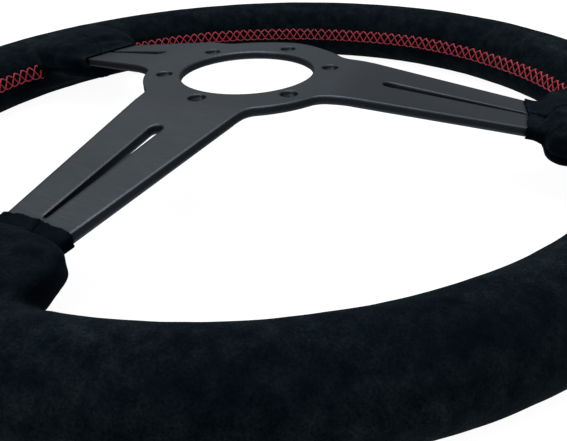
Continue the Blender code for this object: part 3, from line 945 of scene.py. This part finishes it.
class Nodes:
    """Builds a node tree with short calls."""

    def __init__(self, tree):
        self.tree = tree

    def add(self, kind, **values):
        """A new node, with its properties and its inputs' values set by name."""
        node = self.tree.nodes.new(kind)
        for key, value in values.items():
            if hasattr(node, key):
                setattr(node, key, value)
            else:
                node.inputs[key.replace("_", " ")].default_value = value
        return node

    def link(self, start, end):
        self.tree.links.new(start, end)

    def place(self, stretch=(1, 1, 1)):
        """Object coordinates in metres, stretched along each axis."""
        coordinates = self.add("ShaderNodeTexCoord")
        mapping = self.add("ShaderNodeMapping")
        mapping.inputs["Scale"].default_value = stretch
        self.link(coordinates.outputs["Object"], mapping.inputs["Vector"])
        return mapping.outputs["Vector"]

    def noise(self, vector, scale, detail, roughness):
        node = self.add("ShaderNodeTexNoise", Scale=scale, Detail=detail, Roughness=roughness)
        self.link(vector, node.inputs["Vector"])
        return node.outputs["Fac"]

    def ramp(self, value, *stops):
        node = self.add("ShaderNodeValToRGB")
        elements = node.color_ramp.elements
        while len(elements) < len(stops):
            elements.new(0.5)
        for element, (position, colour) in zip(elements, stops):
            element.position = position
            element.color = (*colour, 1.0)
        self.link(value, node.inputs["Fac"])
        return node.outputs["Color"]

    def span(self, value, low, high, new_low, new_high):
        """A value carried from one range to another, and held inside it."""
        node = self.add(
            "ShaderNodeMapRange", From_Min=low, From_Max=high, To_Min=new_low, To_Max=new_high
        )
        self.link(value, node.inputs["Value"])
        return node.outputs["Result"]

    def mix(self, share, first, second, mode="MIX", clamp=True):
        """Two colours mixed. Each may be a socket or a plain colour."""
        node = self.add("ShaderNodeMix", data_type="RGBA", blend_type=mode, clamp_factor=clamp)
        if isinstance(share, float):
            node.inputs[0].default_value = share
        else:
            self.link(share, node.inputs[0])
        for socket, colour in ((node.inputs[6], first), (node.inputs[7], second)):
            if isinstance(colour, tuple):
                socket.default_value = (*colour, 1.0)
            else:
                self.link(colour, socket)
        return node.outputs[2]

    def bump(self, height, strength, distance, before=None):
        node = self.add("ShaderNodeBump", Strength=strength, Distance=distance)
        self.link(height, node.inputs["Height"])
        if before is not None:
            self.link(before, node.inputs["Normal"])
        return node.outputs["Normal"]


class Finish(Nodes):
    """Builds a material round its one shader."""

    def __init__(self, name):
        self.material = bpy.data.materials.new(name)
        self.material.use_nodes = True
        super().__init__(self.material.node_tree)
        self.shader = self.tree.nodes["Principled BSDF"]

    def set(self, **values):
        """Sets the shader's own values by name."""
        for key, value in values.items():
            self.shader.inputs[key.replace("_", " ")].default_value = value

    def feed(self, **sockets):
        """Links sockets to the shader's inputs by name."""
        for key, socket in sockets.items():
            self.link(socket, self.shader.inputs[key.replace("_", " ")])


def suede_material():
    """Black suede: a mottled pile with soft sheen, fine fibres and stray dust, under painted
    light and shade from the grip.
    """
    made = Finish("suede")
    place = made.place()
    clouds = made.noise(place, 24.0, 3.0, 0.55)
    brushed = made.noise(place, 160.0, 4.0, 0.65)
    shade = made.ramp(clouds, (0.34, (0.74, 0.79, 0.81)), (0.68, (1.13, 1.12, 1.09)))
    tone = made.ramp(
        brushed, (0.34, (0.0013, 0.0029, 0.0043)), (0.50, (0.0029, 0.0055, 0.0074)),
        (0.68, (0.0060, 0.0092, 0.0110)),
    )
    colour = made.mix(1.0, tone, shade, "MULTIPLY")
    fibres = made.noise(place, 1400.0, 2.0, 0.7)
    grain = made.ramp(fibres, (0.30, (0.45, 0.45, 0.45)), (0.72, (1.6, 1.6, 1.6)))
    colour = made.mix(1.0, colour, grain, "MULTIPLY")
    # Painted light and shade from the grip: where it is dark the suede goes towards deep blue,
    # not grey, and above 1 it is lighter
    painted_light_and_shade = made.add("ShaderNodeAttribute", attribute_name="painted_light_and_shade")
    colour = made.mix(painted_light_and_shade.outputs["Fac"], (0.0002, 0.0014, 0.0028), colour, clamp=False)
    # A few of the pattern's cells hold a speck of dust
    dust = made.add("ShaderNodeTexVoronoi", Scale=120.0, Randomness=1.0)
    made.link(place, dust.inputs["Vector"])
    close = made.span(dust.outputs["Distance"], 0.035, 0.055, 1.0, 0.0)
    rare = made.add("ShaderNodeSeparateColor")
    made.link(dust.outputs["Color"], rare.inputs["Color"])
    chosen = made.span(rare.outputs["Red"], 0.985, 0.987, 0.0, 1.0)
    speck = made.add("ShaderNodeMath", operation="MULTIPLY")
    made.link(close, speck.inputs[0])
    made.link(chosen, speck.inputs[1])
    colour = made.mix(speck.outputs[0], colour, (0.075, 0.08, 0.085))
    rough = made.span(brushed, 0.3, 0.7, 0.98, 0.86)
    tufts = made.noise(place, 330.0, 3.0, 0.6)
    normal = made.bump(tufts, 0.5, 0.0006)
    normal = made.bump(fibres, 0.5, 0.0002, normal)
    made.feed(Base_Color=colour, Roughness=rough, Normal=normal)
    made.set(Specular_IOR_Level=0.02, Sheen_Weight=0.022, Sheen_Roughness=0.45)
    made.set(Sheen_Tint=(0.60, 0.80, 1.0, 1.0))
    return made.material


def plate_material():
    """Black anodised aluminium over fine straight brushing across the wheel."""
    made = Finish("black_anodised_plate")
    streaks = made.noise(made.place((110, 2900, 2900)), 1.0, 3.0, 0.6)
    clouds = made.noise(made.place((22, 60, 60)), 1.0, 3.0, 0.55)
    fine = made.noise(made.place((60, 5200, 5200)), 1.0, 2.0, 0.5)
    tone = made.ramp(
        streaks, (0.30, (0.039, 0.046, 0.053)), (0.52, (0.048, 0.056, 0.064)),
        (0.74, (0.061, 0.070, 0.079)),
    )
    shade = made.ramp(clouds, (0.3, (0.93, 0.93, 0.94)), (0.7, (1.06, 1.06, 1.05)))
    colour = made.mix(1.0, tone, shade, "MULTIPLY")
    # Painted shade: holes and slots are darker inside, from ambient occlusion
    closed = made.add("ShaderNodeAmbientOcclusion", samples=8, Distance=0.006)
    painted_hollow_shade = made.ramp(closed.outputs["AO"], (0.45, (0.05, 0.06, 0.07)), (0.95, (1.0, 1.0, 1.0)))
    colour = made.mix(1.0, colour, painted_hollow_shade, "MULTIPLY")
    rough = made.span(streaks, 0.3, 0.75, 0.30, 0.36)
    # The CAD mesh has sharp edges, and the real plate's are tumbled round
    rounded = made.add("ShaderNodeBevel", samples=8, Radius=0.0018)
    normal = made.bump(streaks, 0.06, 0.0002, rounded.outputs["Normal"])
    normal = made.bump(fine, 0.08, 0.0001, normal)
    made.feed(Base_Color=colour, Roughness=rough, Normal=normal)
    made.set(Metallic=0.78, Specular_IOR_Level=0.45)
    return made.material


def thread_material():
    """Red waxed thread of two twisted plies.

    Its UVs run once round the thread, and along it in millimetres.
    """
    plies = 2
    twist_length = 0.75
    made = Finish("red_thread")
    coordinates = made.add("ShaderNodeTexCoord")
    split = made.add("ShaderNodeSeparateXYZ")
    made.link(coordinates.outputs["UV"], split.inputs["Vector"])
    round_it = made.add("ShaderNodeMath", operation="MULTIPLY")
    made.link(split.outputs["X"], round_it.inputs[0])
    round_it.inputs[1].default_value = 2 * math.pi * plies
    along = made.add("ShaderNodeMath", operation="MULTIPLY_ADD")
    made.link(split.outputs["Y"], along.inputs[0])
    along.inputs[1].default_value = 2 * math.pi / twist_length
    made.link(round_it.outputs[0], along.inputs[2])
    twist = made.add("ShaderNodeMath", operation="SINE")
    made.link(along.outputs[0], twist.inputs[0])
    height = made.span(twist.outputs[0], -1.0, 1.0, 0.0, 1.0)
    hairs = made.noise(made.place(), 2600.0, 2.0, 0.6)
    # Painted shade: the thread is darker in the grooves between its plies
    tone = made.ramp(
        height, (0.0, (0.23, 0.011, 0.020)), (0.45, (0.45, 0.031, 0.050)),
        (1.0, (0.62, 0.058, 0.085)),
    )
    worn = made.ramp(hairs, (0.3, (0.78, 0.78, 0.78)), (0.7, (1.2, 1.2, 1.2)))
    colour = made.mix(1.0, tone, worn, "MULTIPLY")
    rough = made.span(hairs, 0.3, 0.7, 0.5, 0.72)
    normal = made.bump(height, 0.7, 0.00012)
    made.feed(Base_Color=colour, Roughness=rough, Normal=normal)
    made.set(Sheen_Weight=0.08, Sheen_Roughness=0.5, Specular_IOR_Level=0.25)
    return made.material


def metal_material(name, dark, light, roughness):
    """Plain metal with faint rolling marks, for the pieces inside the grip."""
    made = Finish(name)
    marks = made.noise(made.place((300, 300, 2000)), 1.0, 3.0, 0.6)
    colour = made.ramp(marks, (0.3, dark), (0.7, light))
    rough = made.span(marks, 0.3, 0.7, roughness - 0.06, roughness + 0.08)
    normal = made.bump(marks, 0.1, 0.0001)
    made.feed(Base_Color=colour, Roughness=rough, Normal=normal)
    made.set(Metallic=1.0)
    return made.material


def paint_frame():
    """Gives the CAD nodes that stay their finish."""
    plate = plate_material()
    steel = metal_material("core_steel", (0.36, 0.37, 0.38), (0.46, 0.47, 0.48), 0.45)
    rivet = metal_material("rivet_aluminium", (0.64, 0.64, 0.65), (0.76, 0.76, 0.77), 0.35)
    for name, node in frame["nodes"].items():
        if name == "spoke_plate":
            finish = plate
        elif name.startswith("rivet"):
            finish = rivet
        elif name.startswith(("rim_core", "bracket")):
            finish = steel
        else:
            continue
        node.data.materials.clear()
        node.data.materials.append(finish)


# ----------------------------------------------------------------- studio


def make_camera():
    """The camera looks down over the rim at 5 o'clock towards 11 o'clock."""
    place = Vector((0.144769, -0.212337, 0.119419))
    azimuth = math.radians(121.524)
    down = math.radians(31.209)
    roll = math.radians(-2.718)
    level = math.cos(down)
    ahead = Vector((level * math.cos(azimuth), level * math.sin(azimuth), -math.sin(down)))
    side = ahead.cross(Vector((0, 0, 1))).normalized()
    up = side.cross(ahead)
    right = math.cos(roll) * side + math.sin(roll) * up
    upright = math.cos(roll) * up - math.sin(roll) * side
    data = bpy.data.cameras.new("camera")
    data.sensor_width = 36
    data.lens = 39.37
    data.clip_start = 0.01
    camera = bpy.data.objects.new("camera", data)
    turn = Matrix((right, upright, -ahead)).transposed().to_4x4()
    camera.matrix_world = Matrix.Translation(place) @ turn
    bpy.context.scene.collection.objects.link(camera)
    bpy.context.scene.camera = camera


def make_white(name, bm, height, finish):
    """A white piece of the studio, which doesn't light the wheel."""
    mesh = bpy.data.meshes.new(name)
    bm.to_mesh(mesh)
    bm.free()
    mesh.materials.append(finish)
    made = bpy.data.objects.new(name, mesh)
    made.location.z = height
    made.visible_diffuse = False
    made.visible_glossy = False
    bpy.context.scene.collection.objects.link(made)
    return made


def make_floor():
    """A wide white floor just under the rim, and a white wall far round it."""
    radius = 6
    tall = 8
    gap = 0.0002
    white = Finish("white_floor")
    white.set(Base_Color=(0.12, 0.12, 0.12, 1.0), Roughness=0.95, Specular_IOR_Level=0.1)
    white.set(Emission_Color=(1.0, 1.0, 1.0, 1.0), Emission_Strength=0.95)
    level = CAD_BOX[0].z - gap
    floor = bmesh.new()
    bmesh.ops.create_circle(floor, cap_ends=True, radius=radius, segments=64)
    make_white("floor", floor, level, white.material)
    wall = bmesh.new()
    bmesh.ops.create_cone(wall, radius1=radius, radius2=radius, depth=tall, segments=64)
    backdrop = make_white("backdrop", wall, level + tall / 2, white.material)
    backdrop.visible_shadow = False


def make_light(name, place, size, power):
    """A round softbox that points at the middle of the wheel."""
    data = bpy.data.lights.new(name, "AREA")
    data.shape = "DISK"
    data.size = size
    data.energy = power
    light = bpy.data.objects.new(name, data)
    light.location = place
    light.rotation_mode = "QUATERNION"
    light.rotation_quaternion = Vector(place).to_track_quat("Z", "Y")
    bpy.context.scene.collection.objects.link(light)


def make_studio():
    """Soft white light, strongest overhead and dim near the horizon, with a
    dark flag that keeps the reflection in one spoke down."""
    world = bpy.data.worlds.new("studio")
    world.use_nodes = True
    made = Nodes(world.node_tree)
    background = made.tree.nodes["Background"]
    way = made.add("ShaderNodeTexCoord").outputs["Generated"]
    split = made.add("ShaderNodeSeparateXYZ")
    made.link(way, split.inputs["Vector"])
    height = made.span(split.outputs["Z"], -1.0, 1.0, 0.0, 1.0)
    sky = made.ramp(
        height, (0.0, (1.0, 1.05, 1.1)), (0.12, (0.55, 0.60, 0.66)), (0.25, (0.09, 0.10, 0.12)),
        (0.5, (0.085, 0.105, 0.13)), (0.72, (0.29, 0.31, 0.33)), (0.9, (0.95, 0.95, 0.95)),
        (1.0, (3.2, 3.2, 3.2)),
    )
    # The flag is high beyond 12 o'clock
    flag = made.add("ShaderNodeVectorMath", operation="DISTANCE")
    flag.inputs[1].default_value = (-0.16, 0.78, 0.60)
    made.link(way, flag.inputs[0])
    strength = made.span(flag.outputs["Value"], 0.10, 0.36, 0.1, 1.0)
    made.link(sky, background.inputs["Color"])
    made.link(strength, background.inputs["Strength"])
    bpy.context.scene.world = world
    bpy.context.scene.view_settings.view_transform = "Standard"
    make_light("softbox_above", (-0.1, 0.1, 1.4), 0.8, 6)
    make_light("softbox_front", (-0.25, -1.15, 0.95), 0.6, 4)


# ------------------------------------------------------------------ build

make_camera()
make_studio()
make_floor()
suede = suede_material()
thread = thread_material()
paint_frame()
make_panels(suede)
for run in LACING_RUNS:
    make_lacing(run, thread)
